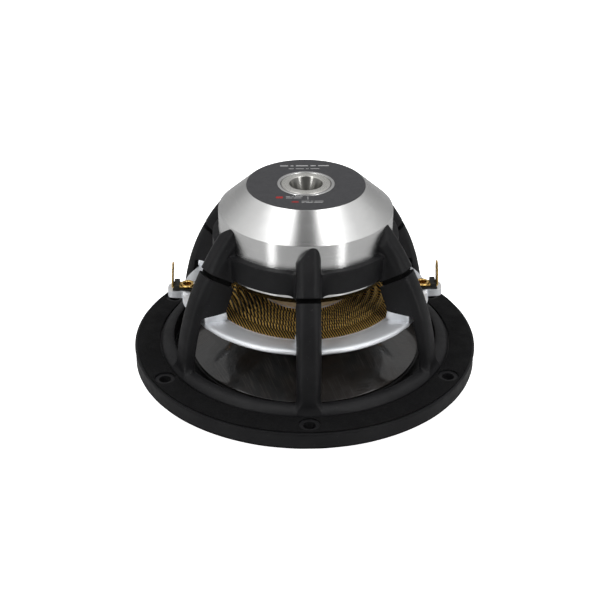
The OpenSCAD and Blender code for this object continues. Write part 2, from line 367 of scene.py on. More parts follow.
# The basket's lattice. Columns 0 to 3 are a leg, 4 to 10 the ring up to the next leg. Rows go
# outwards: 0 and 1 web, 2 opening, 3 crest, 4 outside of leg and ridge, 5 to 7 flange. Levels
# go up: 0 to 4 flange, 5 ridge, 6 to 10 lower leg, 11 to 13 web up to the seam, 14 tenon.
BASKET_LINES = [(0, -LEG_HALF), (0, -3.05), (0, 3.05), (0, LEG_HALF), (0, 7.1), (12, 0),
                (20, 0), (30, 0), (40, 0), (48, 0), (60, -7.1)]
RING_CORNERS = {
    (2, 2): (OPEN_R, LEDGE_Z), (3, 2): (60.4, LEDGE_Z), (4, 2): (LEDGE_R, LEDGE_Z),
    (4, 1): (LEDGE_R, 1.6), (4, 0): (LEDGE_R, 0), (5, 0): (65.5, 0), (6, 0): (74.1, 0),
    (7, 0): (FLANGE_R - 0.25, 0.25), (7, 1): (FLANGE_R, 1.5), (7, 2): (FLANGE_R, LEDGE_Z),
    (7, 3): (FLANGE_R, 6.2), (7, 4): (FLANGE_R - 0.2, GASKET_Z[0] - 0.15),
    (6, 4): (74.3, GASKET_Z[0]), (5, 4): (65.6, GASKET_Z[0]), (4, 4): (64.05, 7.3),
    (2, 3): (OPEN_R, 6.2), (2, 4): (OPEN_R, 8.2), (2, 5): (OPEN_R + 0.1, 10.45),
    (3, 5): (59.9, 10.6), (4, 5): (62.7, 9.48)}
LEG_TURNS = {6: 5.4, 7: 8.4, 8: 11.8, 9: 15, 10: 17.2, 11: 18.8, 12: 24}
WEB_INNER = {11: (42.2, 34.3), 12: (40.1, 39.8), 13: seam_point(-0.43, -SEAM_HALF)}
SEAM_STEPS = {1: 1.6, 2: 5.8, 3: 10.9}
TENON_HALF = 4.3


def leg_corner(column, row, level):
    """Radius, distance beside the leg's middle, and height."""
    side = -1 if column < 2 else 1
    outer = column in (0, 3)
    beside = LEG_HALF if outer else 3.05
    if level == 14:
        beside = TENON_HALF
        r, z = seam_point(SEAM_STEPS[row], SEAM_HALF)
    elif level == 13 and row in SEAM_STEPS:
        beside = LEG_HALF if outer else TENON_HALF
        r, z = seam_point(SEAM_STEPS[row], -SEAM_HALF)
    elif row == 0:
        r, z = WEB_INNER[level]
    elif row == 4:
        depth = 1 if outer else 0
        beside = 4.05 if outer else 1.65
        r, z = leg_point(LEG_TURNS[level], depth) if level < 13 else seam_point(
            seam_reach(-SEAM_HALF, depth), -SEAM_HALF)
    elif row == 3:
        r, z = leg_point(LEG_TURNS[level], EDGE_R)
    else:
        r, z = leg_point(LEG_TURNS[level], 4.5)
        if row == 1:
            inner = WEB_INNER[level]
            r, z = (r + inner[0]) / 2, (z + inner[1]) / 2
    return r, side * beside, z


def basket_corner(column, row, level):
    leg, column = divmod(column, len(BASKET_LINES))
    on_leg = column < 4
    if level > 5:
        r, beside, z = leg_corner(column, row, level)
        turn = math.atan2(beside, r)
        r = math.hypot(r, beside) if row > 1 and level < 11 else r / math.cos(turn)
    else:
        r, z = RING_CORNERS.get((row, level), (60, 5))
        turn = bearing(BASKET_LINES[column], r)
        if on_leg and level == 5 and row > 2:
            outer = column in (0, 3)
            if outer:
                turn *= 1.08 if row == 3 else 0.98
            r, z = (r, z + 0.35) if row == 3 else (r + 0.1, z + 0.5)
    return polar(r, math.radians(LEGS[leg]) + turn, z)


def make_basket(material):
    columns = 6 * len(BASKET_LINES)
    cells = set()
    for a in range(columns):
        cells |= {(a, b, c) for b in (2, 3) for c in (2, 3, 4)}
        cells |= {(a, b, c) for b in (4, 5, 6) for c in range(4)}
    for leg in range(6):
        start = leg * len(BASKET_LINES)
        for a in range(start, start + 3):
            cells |= {(a, b, c) for b in (2, 3) for c in range(5, 13)}
            cells |= {(a, b, c) for b in (0, 1) for c in (11, 12)}
        cells |= {(start + 1, b, 13) for b in (1, 2)}
    obj = subdivided("basket_casting", cells, columns, basket_corner)
    carve(obj, *cylinders(HOLE_R, HOLE_AT, (-1, GASKET_Z[1] + 1), LEGS))
    carve(obj, *cylinders(SINK_R, HOLE_AT, (-1, SINK_H), LEGS))
    carve(obj, *cylinders(SCREW_R + 0.1, SCREW_AT, (PAD_Z - 3, 57), LEGS))
    soften(obj, 0.3)
    return dress(obj, FIXED, material, ["basket"])


# The cage's lattice. Columns 0 to 5 are an arm. Rows: 0 cup, 1 outside of ring, 2 side of arm,
# 3 outside of arm. Levels: 0 seam, 1 to 3 ring, 4 to 6 the arm above it. The arms run on past
# their tips, and are then cut.
CAGE_BESIDE = [-LEG_HALF, -3.1, -1.1, 1.1, 3.1, LEG_HALF]
CAGE_OUTER = [-4.05, -2.4, -0.9, 0.9, 2.4, 4.05]
CAGE_LINES = [(0, y) for y in CAGE_BESIDE] + [
    (0, 7.2), (18, 0), (26, 0), (34, 0), (42, 0), (60, -7.2)]
CAGE_LEVELS = [CAGE_Z[0], 52.2, 56.4, CAGE_Z[1]]
CAGE_TURNS = {1: 32.6, 2: 34.4, 3: 36.2, 4: 39, 5: 41.8, 6: 44.6}
TIP_AT = (8.7, 57)
TIP_R = 15.4


def edge_depth(beside):
    """How far the arms' rounded edge lies inside their common arc."""
    over = max(0, abs(beside) - (LEG_HALF - EDGE_R))
    return EDGE_R - math.sqrt(EDGE_R ** 2 - over ** 2)


def cage_corner(column, row, level):
    arm, column = divmod(column, len(CAGE_LINES))
    turn = math.radians(LEGS[arm])
    ring_r = (CUP_R - 1.5, 39.8)
    if column > 5:
        r = ring_r[row]
        z = CAGE_LEVELS[level] - (0.35 if (row, level) == (1, 3) else 0)
        return polar(r, turn + bearing(CAGE_LINES[column], r), z)
    beside = (CAGE_OUTER if row == 3 else CAGE_BESIDE)[column]
    depth = edge_depth(beside) if row == 3 else EDGE_R
    if level == 0:
        r, z = seam_point((-1.2, 2.1)[row] if row < 2 else seam_reach(SEAM_HALF, depth), SEAM_HALF)
    elif row < 2 and level < 4:
        r, z = ring_r[row], CAGE_LEVELS[level]
    else:
        r, z = leg_point(CAGE_TURNS[level], depth)
        r -= (4, 2, 0, 0)[row]
    side = math.atan2(beside, r)
    return polar(r if row == 0 and level < 4 else r / math.cos(side), turn + side, z)


def tip_cutter():
    """Everything beyond the curve that ends an arm."""
    curve = arc(TIP_AT, TIP_R, 166, 110, 24)
    corner = arc((curve[-1][0] + 0.35, curve[-1][1] - 1.0), 1.05, 105, 20, 5)
    foot_z, side, top_z = CAGE_Z[1] + 0.4, 8, 80
    outline = [(-side, curve[0][1])] + curve + corner + [
        (LEG_HALF + 0.3, foot_z), (side, foot_z), (side, top_z), (-side, top_z)]
    verts, faces = prism(outline, 33, 50)
    return [(depth, y, z) for y, z, depth in verts], faces


def make_cage(material):
    columns = 6 * len(CAGE_LINES)
    cells = {(a, 0, c) for a in range(columns) for c in range(3)}
    for arm in range(6):
        start = arm * len(CAGE_LINES)
        cells |= {(a, b, c) for a in range(start, start + 5) for b in range(3) for c in range(6)}
    obj = subdivided("motor_cage_casting", cells, columns, cage_corner)
    carve(obj, *cylinders(SCREW_R + 0.05, SCREW_AT, (40, 58), LEGS))
    tip = tip_cutter()
    carve(obj, *joined(*[(turned_about(tip[0], leg), tip[1]) for leg in LEGS]))
    cup_r, plate_r, step_z = CUP_R + 0.05, PLATE_R + 0.05, PLATE_Z[1] + 0.02
    carve(obj, *lathe([(0, 40), (plate_r, 40), (plate_r, step_z), (cup_r, step_z), (cup_r, 90),
                       (0, 90)], 256))
    soften(obj, 0.35)
    return dress(obj, FIXED, material, ["motor_cage"])


# The spider ring's lattice. Rows: 0 to 5 ring, 6 outside of pads, 7 and 8 ear. Levels: 0 to 2
# ring and ears, 3 top of pads.
EAR_LINES = [(0, -4.2), (0, -1.6), (0, 1.6), (0, 4.2), (0, 6.4)]
PAD_HALF = 4.7
RING_LINES = EAR_LINES + [(14, 0)]
for pad in (30, 90, 150):
    RING_LINES += [(pad, -PAD_HALF - 1.3), (pad, -PAD_HALF), (pad, PAD_HALF), (pad, PAD_HALF + 1.3)]
    if pad < 150:
        RING_LINES += [(pad + step, 0) for step in (15, 22.5, 30, 37.5, 45)]
RING_LINES += [(166, 0), (180, -6.4)]
RING_ROWS = {
    0: [(36, RING_Z), (36, 28.8), (36, LAND_Z)],
    1: [(41.2, RING_Z), (41.2, 28.8), (41.2, LAND_Z)],
    2: [(42.4, RING_Z), (42.4, 28.8), (42.4, 30.25)],
    3: [(46.5, 27.9), (46.5, 28.8), (46.5, 31.1)],
    4: [(49.9, 28.6), (50.1, 29.2), (50.3, 31.65)],
    5: [(51.9, 29.3), (52.7, 30.2), (52.3, 31.2)],
    6: [(55, 29), (55.2, 30.2), (55, 31.6)],
    7: [(57.2, EAR_Z[0]), (57.2, 30.8), (57.2, EAR_Z[1])],
    8: [(EAR_END, EAR_Z[0]), (EAR_END, 30.8), (EAR_END, EAR_Z[1])]}


def ring_corner(column, row, level):
    half, column = divmod(column, len(RING_LINES))
    angle, beside = RING_LINES[column]
    on_ear = column < 4
    on_pad = abs(beside) == PAD_HALF
    near_ear = angle in (0, 14, 166, 180)
    r, z = RING_ROWS[row][min(level, 2)]
    if level == 3:
        z = PAD_Z
    if near_ear and row in (3, 4, 5):
        r += 0.35 * (row - 2)
    if on_ear and row > 3:
        z = (EAR_Z[0], 30.8, EAR_Z[1] - 0.5 * (row == 4))[level]
    if on_ear and row > 6 and column in (0, 3):
        beside *= 0.97 if row == 7 else 0.82
        r -= 0.8 if row == 8 else 0
    if on_pad and row == 2:
        r = math.hypot(42, beside)
    turn = bearing((angle, beside), r)
    return polar(r, math.radians(180 * half) + turn, z)


def make_ring(material):
    count = len(RING_LINES)
    cells = {(a, b, c) for a in range(2 * count) for b in range(5) for c in range(2)}
    for half in (0, 1):
        start = half * count
        cells |= {(a, b, c) for a in range(start, start + 3) for b in (5, 6, 7) for c in (0, 1)}
        for k, line in enumerate(RING_LINES):
            if line[1] == -PAD_HALF:
                cells |= {(start + k, b, 2) for b in (2, 3, 4)}
    obj = subdivided("spider_ring_moulding", cells, 2 * count, ring_corner)
    carve(obj, *joined(
        cylinders(SCREW_R + 0.1, SCREW_AT, (RING_Z - 1, PAD_Z + 1), LEGS),
        cylinders(RIVET_R + 0.05, RIVET_AT, (RING_Z - 1, PAD_Z + 1), (0, 180))))
    soften(obj, 0.25)
    return dress(obj, FIXED, material, ["spider_ring"])


# ---- turned parts of the motor ----

def make_cup(material):
    wall = 2.9
    inner_z = TOP_Z - 11
    crease_z = 71.2
    outline = rounded([
        (CUP_R - wall, PLATE_Z[1]), (CUP_R, PLATE_Z[1]), (CUP_R, crease_z),
        (LABEL_R + 0.3, LABEL_Z[0] + 0.1), (LABEL_R + 0.05, LABEL_Z[0]), (HUB_R, LABEL_Z[0]),
        (HUB_R, TOP_Z), (BOSS_R + 0.3, TOP_Z), (BOSS_R + 0.3, inner_z),
        (CUP_R - wall, inner_z)], 0.18)
    return turned_piece("motor_cup_shell", outline, FIXED, material,
                        ["motor_cup"], 256)


def make_yoke(material):
    vent_r, mouth_r, mouth = 4.6, VENT_MOUTH_R, 9
    front_z, plate = 44.2, (62, TOP_Z - 11)
    pole_r, plate_r = 17.2, CUP_R - 3.3
    flare = [(vent_r + (mouth_r - vent_r) * t ** 1.6, TOP_Z - mouth * (1 - t))
             for t in np.linspace(0, 1, 15)]
    outline = rounded([
        (vent_r + 1.6, front_z), (pole_r, front_z), (pole_r, plate[0]), (plate_r, plate[0]),
        (plate_r, plate[1]), (BOSS_R, plate[1]), (BOSS_R, TOP_Z)]
        + flare[::-1] + [(vent_r, front_z + 3)], 0.2)
    return turned_piece("pole_yoke_turning", outline, FIXED, material,
                        ["pole_yoke"])


def make_plate(material):
    bore = FORMER_R + 1.1
    outline = rounded([
        (bore, PLATE_Z[0]), (PLATE_R - 2.3, PLATE_Z[0]), (PLATE_R, PLATE_Z[0] + 3.4),
        (PLATE_R, PLATE_Z[1]), (bore, PLATE_Z[1])], 0.2)
    return turned_piece("top_plate_turning", outline, FIXED, material,
                        ["top_plate"], 256)


def tube(name, node, inner_r, body, material, edge=0.1):
    """A plain turned tube as wide and as high as its CAD node."""
    low, high = corners(node)
    outline = rounded([(inner_r, low[2]), (high[0], low[2]), (high[0], high[2]),
                       (inner_r, high[2])], edge)
    return turned_piece(name, outline, body, material, [node])


def make_winding(material):
    """Two layers of wire: the outside shows each turn."""
    low, high = corners("voice_coil_winding")
    turns = 52
    step = (high[2] - low[2]) / turns
    depth = 0.08
    outer = [(high[0] - depth * (0.5 + 0.5 * math.cos(math.pi * i / 2)), low[2] + step * i / 4)
             for i in range(4 * turns + 1)]
    outline = [(FORMER_R, low[2])] + outer + [(FORMER_R, high[2])]
    return turned_piece("voice_coil_turns", outline, MOVING, material,
                        ["voice_coil_winding"], 128, 60)


# ---- soft and moving parts ----

def cone_z(r):
    """Height of the cone's front face: steep at the neck, flatter at the edge."""
    u = (CONE_R - r) / (CONE_R - FORMER_R)
    low, high = heights("cone")
    return low + (high - 0.5 - low) * (0.65 * u + 0.35 * u * u)


def make_cone(material):
    line = [(r, cone_z(r)) for r in np.linspace(FORMER_R, CONE_R, 40)]
    return turned_piece("cone_shell", rounded(band(line, 0.5), 0.08), MOVING,
                        material, ["cone"], 256)


def make_cap(material):
    low, high = corners("dust_cap")
    rise = high[2] - 0.4 - low[2]
    radius = (high[0] ** 2 + rise ** 2) / (2 * rise)
    span = math.degrees(math.asin(high[0] / radius))
    line = arc((0, low[2] + radius), radius, -90, span - 90, 24)
    line[0] = (0, line[0][1])
    return turned_piece("dust_cap_shell", band(line, 0.4), MOVING, material,
                        ["dust_cap"], 128)


def weigh_radially(piece):
    """Bakes the piece's placement into its mesh."""
    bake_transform(piece)


def make_spider(material):
    waves, wave_h, wave_r, bow_h = 5, 0.75, (20.6, 35.6), 1.1
    neck_r = FORMER_R + 0.55
    line = [(neck_r, LAND_Z + 1.6), (neck_r + 0.15, LAND_Z + 1), (neck_r + 0.7, LAND_Z + 0.4)]
    for t in np.linspace(0, 1, 121):
        rise = bow_h * math.sin(math.pi * t) + wave_h * math.sin(2 * math.pi * waves * t)
        line.append((wave_r[0] + (wave_r[1] - wave_r[0]) * t, LAND_Z + rise))
    line.append((highest("spider", "x"), LAND_Z))
    piece = turned_piece("spider_cloth_disc", band(line, 0.45), None, material,
                         ["spider"], 256, 80)
    weigh_radially(piece)
    return piece


def make_surround(material):
    bottom = LEDGE_Z - 0.45
    inner_r, outer_r = CONE_R + 0.8, OPEN_R - 0.6
    middle, radius = (inner_r + outer_r) / 2, (outer_r - inner_r) / 2
    roll = arc((middle, bottom), radius, 180, 360, 32)
    line = [(CONE_R - 1.6, bottom)] + roll + [(highest("surround", "x"), bottom)]
    piece = turned_piece("surround_roll", rounded(band(line, 0.45), 0.1), None,
                         material, ["surround"], 256, 60)
    weigh_radially(piece)
    return piece


# ---- small parts ----

def make_gasket(material):
    inner_r, outer_r = GASKET_IN_R, FLANGE_R - 0.8
    outline = rounded([(inner_r, GASKET_Z[0]), (outer_r, GASKET_Z[0]), (outer_r, GASKET_Z[1]),
                       (inner_r, GASKET_Z[1])], 0.25, 3)
    obj = new_object("flange_gasket_ring", *lathe(outline, 192))
    carve(obj, *cylinders(COLLAR_R, HOLE_AT, (GASKET_Z[0] - 1, GASKET_Z[1] + 1), LEGS, 64))
    soften(obj, 0.12, 50)
    return dress(obj, FIXED, material, ["flange_gasket"])


def hexagon(width):
    """The corners of a hexagon, width across its flats."""
    return [polar(width / 2 / math.cos(math.radians(30)), math.radians(60 * k), 0)[:2]
            for k in range(6)]


def make_screws(material):
    """Socket head screws, with their threads as fine rings."""
    low, high = heights("frame_screws")
    head_r, head_top, key, key_depth = 2.75, RING_Z, 2.5, 1.6
    pitch, groove = 0.5, 0.22
    thread = []
    for i in range(int((high - head_top - 1) / pitch)):
        z = high - 0.6 - i * pitch
        thread += [(SCREW_R, z), (SCREW_R - groove, z - pitch / 2)]
    outline = [(0, low), (head_r - 0.3, low), (head_r, low + 0.3), (head_r, head_top - 0.15),
               (head_r - 0.15, head_top), (SCREW_R - 0.1, head_top)] + thread[::-1] + [
                   (SCREW_R - 0.4, high), (0, high)]
    obj = new_object("frame_screw_set", *lathe(outline, 40))
    carve(obj, *prism(hexagon(key), low - 1, low + key_depth))
    verts = [(v.co.x / MM + SCREW_AT, v.co.y / MM, v.co.z / MM) for v in obj.data.vertices]
    faces = [tuple(face.vertices) for face in obj.data.polygons]
    bpy.data.objects.remove(obj)
    obj = new_object("frame_screw_set", *joined(*[(turned_about(verts, b), faces) for b in LEGS]))
    return dress(obj, FIXED, material, ["frame_screws"])


def strip(stations, thickness):
    """A strip of sheet metal. A station is (x, z, direction in degrees, half width)."""
    rings = []
    for x, z, direction, half in stations:
        t = math.radians(direction + 90)
        up = (math.cos(t) * thickness / 2, math.sin(t) * thickness / 2)
        rings.append([(x + side * up[0], y, z + side * up[1])
                      for side, y in ((-1, -half), (-1, half), (1, half), (1, -half))])
    return skin(rings)


def make_lug(side, turn, material):
    """A tab bent up from a foot, with a hole for wire."""
    node = "terminal_lug_" + side
    low_z, top_z = heights(node)
    foot_z = low_z + TAB_T / 2
    half, lean, bend_r = TAB_HALF, 3.5, 0.8
    blade_x = TAB_R[1] - TAB_T / 2
    foot_x = (TAB_R[0], blade_x - bend_r)
    stations = [(foot_x[0] + ahead, foot_z, 0, half - less)
                for ahead, less in ((0, 0.8), (0.25, 0.35), (0.8, 0))]
    stations += [(x, foot_z, 0, half) for x in np.linspace(foot_x[0] + 2, foot_x[1], 6)]
    for t in np.linspace(0, 90 + lean, 8)[1:]:
        a = math.radians(t - 90)
        stations.append((foot_x[1] + bend_r * math.cos(a), foot_z + bend_r + bend_r * math.sin(a),
                         t, half))
    start_x, start_z = stations[-1][:2]
    tilt = math.radians(lean)
    length = (top_z - 0.03 - start_z) / math.cos(tilt)
    for share, width in ((0.3, half), (0.5, half), (0.6, half), (0.66, 2.3), (0.8, 1.7),
                         (0.93, 1.12), (0.98, 0.85), (1, 0.6)):
        along = share * length
        stations.append((start_x - along * math.sin(tilt), start_z + along * math.cos(tilt),
                         90 + lean, width))
    obj = new_object(node + "_tab", *strip(stations, TAB_T))
    hole_r, hole_z = 0.8, low_z + 0.7 * (top_z - foot_z)
    rod, faces = cylinders(hole_r, 0, (-3, 3), (0,), 32)
    wire_hole = ([(z + blade_x, y, x + hole_z) for x, y, z in rod], faces)
    rivet_hole = cylinders(RIVET_R + 0.05, RIVET_AT, (foot_z - 2, foot_z + 2), (0,))
    carve(obj, *joined(wire_hole, rivet_hole))
    soften(obj, 0.1, 40)
    obj.data.transform(Matrix.Rotation(math.radians(turn), 4, "Z"))
    return dress(obj, FIXED, material, [node])


def make_terminal_plate(side, turn, material):
    """Insulating plate with an upstand that holds the tab's foot in a slot."""
    node = "terminal_plate_" + side
    low_z, high_z = heights(node)
    deck = low_z + 0.8
    outline = rounded([(47.6, low_z), (57.8, low_z), (57.8, deck), (57.2, deck), (57.2, high_z),
                       (54.9, high_z), (54.9, deck), (47.6, deck)], 0.15, 2)
    verts, faces = prism(outline, -3.4, 3.4)
    obj = new_object(node + "_block", [(x, y, z) for x, z, y in verts], faces)
    slot = strip([(54, deck + 0.43, 0, 2.45), (58.5, deck + 0.43, 0, 2.45)], 0.86)
    carve(obj, *joined(slot, cylinders(RIVET_R + 0.05, RIVET_AT, (low_z - 1, deck + 1), (0,))))
    soften(obj, 0.12, 40)
    obj.data.transform(Matrix.Rotation(math.radians(turn), 4, "Z"))
    return dress(obj, FIXED, material, [node])


def make_rivet(side, turn, material):
    node = "terminal_rivet_" + side
    low_z, high_z = heights(node)
    lug_z = high_z - 0.45
    bore, rim = 1.7, 3.2
    outline = [(bore, low_z + 0.1), (bore + 0.1, low_z), (rim - 0.4, low_z),
               (rim - 0.3, low_z + 0.2), (rim - 0.35, low_z + 0.5), (RIVET_R, low_z + 0.5),
               (RIVET_R, lug_z), (rim, lug_z), (rim - 0.05, lug_z + 0.15),
               (bore + 1.1, lug_z + 0.45), (bore + 0.25, high_z - 0.02), (bore, high_z - 0.25)]
    verts, faces = lathe(rounded(outline, 0.12, 3), 64)
    verts = turned_about([(x + RIVET_AT, y, z) for x, y, z in verts], turn)
    obj = new_object(node + "_eyelet", verts, faces)
    return dress(obj, FIXED, material, [node])


LEAD_ROUTE = [
    (48.1, 34.65), (46.4, 34.7), (44.8, 35.1), (43, 36), (40, 37.8), (36.5, 39.4), (33, 40.2),
    (29.5, 40.1), (26, 39.2), (23, 37.7), (21, 36.6), (19.55, 36)]


def smooth_route(points, steps):
    """Points along a Catmull-Rom curve through a route."""
    padded = [points[0]] + list(points) + [points[-1]]
    made = []
    for i in range(len(points) - 1):
        p = np.array(padded[i:i + 4], float)
        for t in np.linspace(0, 1, steps, endpoint=i == len(points) - 2):
            made.append(0.5 * (2 * p[1] + (p[2] - p[0]) * t + (2 * p[0] - 5 * p[1] + 4 * p[2]
                        - p[3]) * t ** 2 + (3 * p[1] - p[0] - 3 * p[2] + p[3]) * t ** 3))
    return np.array(made)


def swept(path, radius, sides):
    """A closed tube along a path."""
    path = np.array(path, float)
    tangents = np.gradient(path, axis=0)
    tangents /= np.linalg.norm(tangents, axis=1)[:, None]
    first = np.cross(tangents, (0.13, 1, 0.21))
    first /= np.linalg.norm(first, axis=1)[:, None]
    second = np.cross(tangents, first)
    turns = np.linspace(0, 2 * math.pi, sides, endpoint=False)
    return skin([[point + radius * (math.cos(t) * a + math.sin(t) * b) for t in turns]
                 for point, a, b in zip(path, first, second)])


def make_lead(side, turn, material):
    """A braid: strands wind both ways round the route."""
    node = "tinsel_lead_" + side
    route = smooth_route(LEAD_ROUTE, 10)
    along = np.r_[0, np.cumsum(np.linalg.norm(np.diff(route, axis=0), axis=1))]
    slope = np.gradient(route, axis=0)
    normal = np.c_[-slope[:, 1], slope[:, 0]] / np.linalg.norm(slope, axis=1)[:, None]
    strands, lay, strand_r, helix_r, wave = 4, 5.0, 0.2, 0.37, 0.05
    parts = []
    for way in (-1, 1):
        for k in range(strands):
            angle = way * 2 * math.pi * along / lay + 2 * math.pi * k / strands
            weave = helix_r - wave * way * np.cos(2 * strands * math.pi * along / lay)
            out = (weave * np.cos(angle))[:, None] * normal
            path = np.c_[route[:, 0] + out[:, 0], weave * np.sin(angle), route[:, 1] + out[:, 1]]
            parts.append(swept(path, strand_r, 6))
    verts, faces = joined(*parts)
    obj = new_object(node + "_braid", turned_about(verts, turn), faces)
    dress(obj, None, material, [node], 60)
    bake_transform(obj)
    return obj


# ---- materials ----

class Graph:
    """A node tree under construction, with short calls for the nodes used most."""

    def __init__(self, owner, shader, place):
        owner.use_nodes = True
        self.tree = owner.node_tree
        self.shader = self.tree.nodes[shader]
        self.place = self.add("ShaderNodeTexCoord").outputs[place]
        self.normal = None

    def add(self, kind, inputs=(), **settings):
        """A node. Its inputs come in order, or by name."""
        node = self.tree.nodes.new(kind)
        for key, value in settings.items():
            setattr(node, key, value)
        for key, value in inputs.items() if isinstance(inputs, dict) else enumerate(inputs):
            self.feed(node.inputs[key], value)
        return node

    def feed(self, socket, value):
        """Links an input to an output, or sets its number or colour."""
        if isinstance(socket, str):
            socket = self.shader.inputs[socket]
        if isinstance(value, bpy.types.NodeSocket):
            self.tree.links.new(value, socket)
        else:
            socket.default_value = (*value, 1) if socket.type == "RGBA" else value

    def math(self, operation, *values):
        return self.add("ShaderNodeMath", values, operation=operation).outputs[0]

    def sum(self, *values):
        total = values[0]
        for value in values[1:]:
            total = self.math("ADD", total, value)
        return total

    def times(self, a, b):
        return self.math("MULTIPLY", a, b)

    def span(self, value, low, high, to_low=0.0, to_high=1.0):
        """Value from low to high, spread smoothly over another range."""
        return self.add("ShaderNodeMapRange", (value, low, high, to_low, to_high),
                        interpolation_type="SMOOTHSTEP").outputs[0]

    def scaled(self, scale):
        return self.add("ShaderNodeMapping", {"Vector": self.place, "Scale": scale}).outputs[0]

    def noise(self, size, detail, vector=None):
        """Noise with features of that size in millimetres."""
        return self.add("ShaderNodeTexNoise", {
            "Vector": vector or self.place, "Scale": 1 / (size * MM), "Detail": detail}
        ).outputs["Fac"]

    def varied(self, size, detail, low=0.0, high=1.0):
        """A number that varies in patches of that size."""
        return self.span(self.noise(size, detail), 0.3, 0.7, low, high)

    def blend(self, factor, a, b):
        """One colour over another."""
        return self.add("ShaderNodeMix", {"Factor": factor, 6: a, 7: b},
                        data_type="RGBA").outputs[2]

    def bump(self, height, depth):
        """Relief, with its depth in millimetres."""
        inputs = {"Distance": depth * MM, "Height": height}
        if self.normal:
            inputs["Normal"] = self.normal
        self.normal = self.add("ShaderNodeBump", inputs).outputs["Normal"]
        self.feed("Normal", self.normal)

    def axes(self):
        return self.add("ShaderNodeSeparateXYZ", [self.place]).outputs

    def crossed(self, degrees):
        """Two axes across the disc, turned from X and Y."""
        x, y, _ = self.axes()
        c, s = math.cos(math.radians(degrees)), math.sin(math.radians(degrees))
        return (self.sum(self.times(x, c), self.times(y, s)),
                self.sum(self.times(x, -s), self.times(y, c)))

    def radius(self):
        x, y, _ = self.axes()
        return self.math("SQRT", self.sum(self.times(x, x), self.times(y, y)))


class Paint(Graph):
    """A material under construction."""

    def __init__(self, name, **fixed):
        self.material = bpy.data.materials.new(name)
        super().__init__(self.material, "Principled BSDF", "Object")
        for socket, value in fixed.items():
            self.feed(socket.replace("_", " "), value)


def powder_coat():
    """Matt black coat. Dust shows on it as specks, and the seam's faces carry painted shade:
    near-black colour with more roughness, for the shade in the gap.
    """
    p = Paint("powder_coat_black", Specular_IOR_Level=0.19)
    tilt = math.radians(SEAM_TILT)
    across = p.sum(p.times(p.axes()[2], math.cos(tilt)), p.times(p.radius(), -math.sin(tilt)),
                   (SEAM_AT[0] * math.sin(tilt) - SEAM_AT[1] * math.cos(tilt)) * MM)
    # painted_seam_shade covers the seam's faces; the near-black colour mixed in there is painted
    # shade in the gap between leg and arm.
    painted_seam_shade = p.span(p.math("ABSOLUTE", across), (SEAM_HALF + 0.12) * MM, SEAM_HALF * MM)
    colour = p.blend(p.varied(14, 3), (0.0092, 0.0092, 0.0102), (0.0132, 0.0132, 0.0142))
    dust = p.span(p.noise(0.55, 1), 0.77, 0.82)
    dusty = p.blend(dust, colour, (0.09, 0.088, 0.084))
    p.feed("Base Color", p.blend(painted_seam_shade, dusty, (0.0006, 0.0006, 0.0006)))
    p.feed("Roughness", p.sum(p.varied(3, 4, 0.40, 0.50), p.times(dust, 0.3),
                              p.times(painted_seam_shade, 0.5)))
    p.bump(p.noise(0.9, 4), 0.035)
    p.bump(p.noise(0.22, 2), 0.008)
    return p.material


def grained(name, dark, light, grain, rough, relief=None, stretch=(1, 1, 1), edges=(0.3, 0.7),
            **fixed):
    """Two tones in grains. Each noise is (size, detail): grain for the tones between its edges,
    rough with the lowest and highest roughness after it, and relief with its depth."""
    p = Paint(name, **fixed)
    place = p.scaled(stretch)
    p.feed("Base Color", p.blend(p.span(p.noise(*grain, place), *edges), dark, light))
    p.feed("Roughness", p.varied(*rough))
    if relief:
        p.bump(p.noise(*relief[:2], place), relief[2])
    return p.material


def gasket_foam():
    return grained("gasket_foam", (0.003, 0.003, 0.0033), (0.0085, 0.0085, 0.009), (0.45, 5),
                   (6, 3, 0.72, 0.9), (0.45, 5, 0.07), edges=(0.35, 0.7), Specular_IOR_Level=0.12)


def silver_paint():
    return grained("silver_paint", (0.80, 0.82, 0.85), (0.86, 0.88, 0.91), (9, 3),
                   (2.2, 3, 0.40, 0.48), (0.35, 3, 0.012), Metallic=0.6)


def turned_metal(name, colour, dark, roughness, pitch=0.14, relief=0.003, anisotropy=0.8,
                 painted_shade_r=0.0):
    """Metal off the lathe: fine grooves round the axis, drawn along radius and height. Within
    painted_shade_r of the axis its colour is darkened, as painted shade in the bore."""
    p = Paint(name, Metallic=1.0, Anisotropic=anisotropy, Anisotropic_Rotation=0.25)
    p.feed("Tangent", p.add("ShaderNodeTangent", direction_type="RADIAL", axis="Z").outputs[0])
    along = p.math("SUBTRACT", p.axes()[2], p.times(p.radius(), 0.5))
    grooves = p.add("ShaderNodeTexNoise", {"W": p.times(along, 1 / (pitch * MM)), "Detail": 4},
                    noise_dimensions="1D").outputs["Fac"]
    cloud = p.noise(9, 3)
    shine = p.blend(p.span(p.sum(p.times(grooves, 0.8), p.times(cloud, 0.2)), 0.35, 0.65),
                    dark, colour)
    # Painted shade: inside painted_shade_r the colour drops to 0.4 of dark, for the shade in the
    # vent's bore.
    outside_painted_shade = p.span(p.radius(), (painted_shade_r - 0.2) * MM, (painted_shade_r + 0.1) * MM)
    p.feed("Base Color", p.blend(outside_painted_shade, tuple(0.4 * c for c in dark), shine))
    p.feed("Roughness", p.sum(p.times(grooves, 0.1), p.times(cloud, 0.02), roughness - 0.06))
    p.bump(grooves, relief)
    return p.material


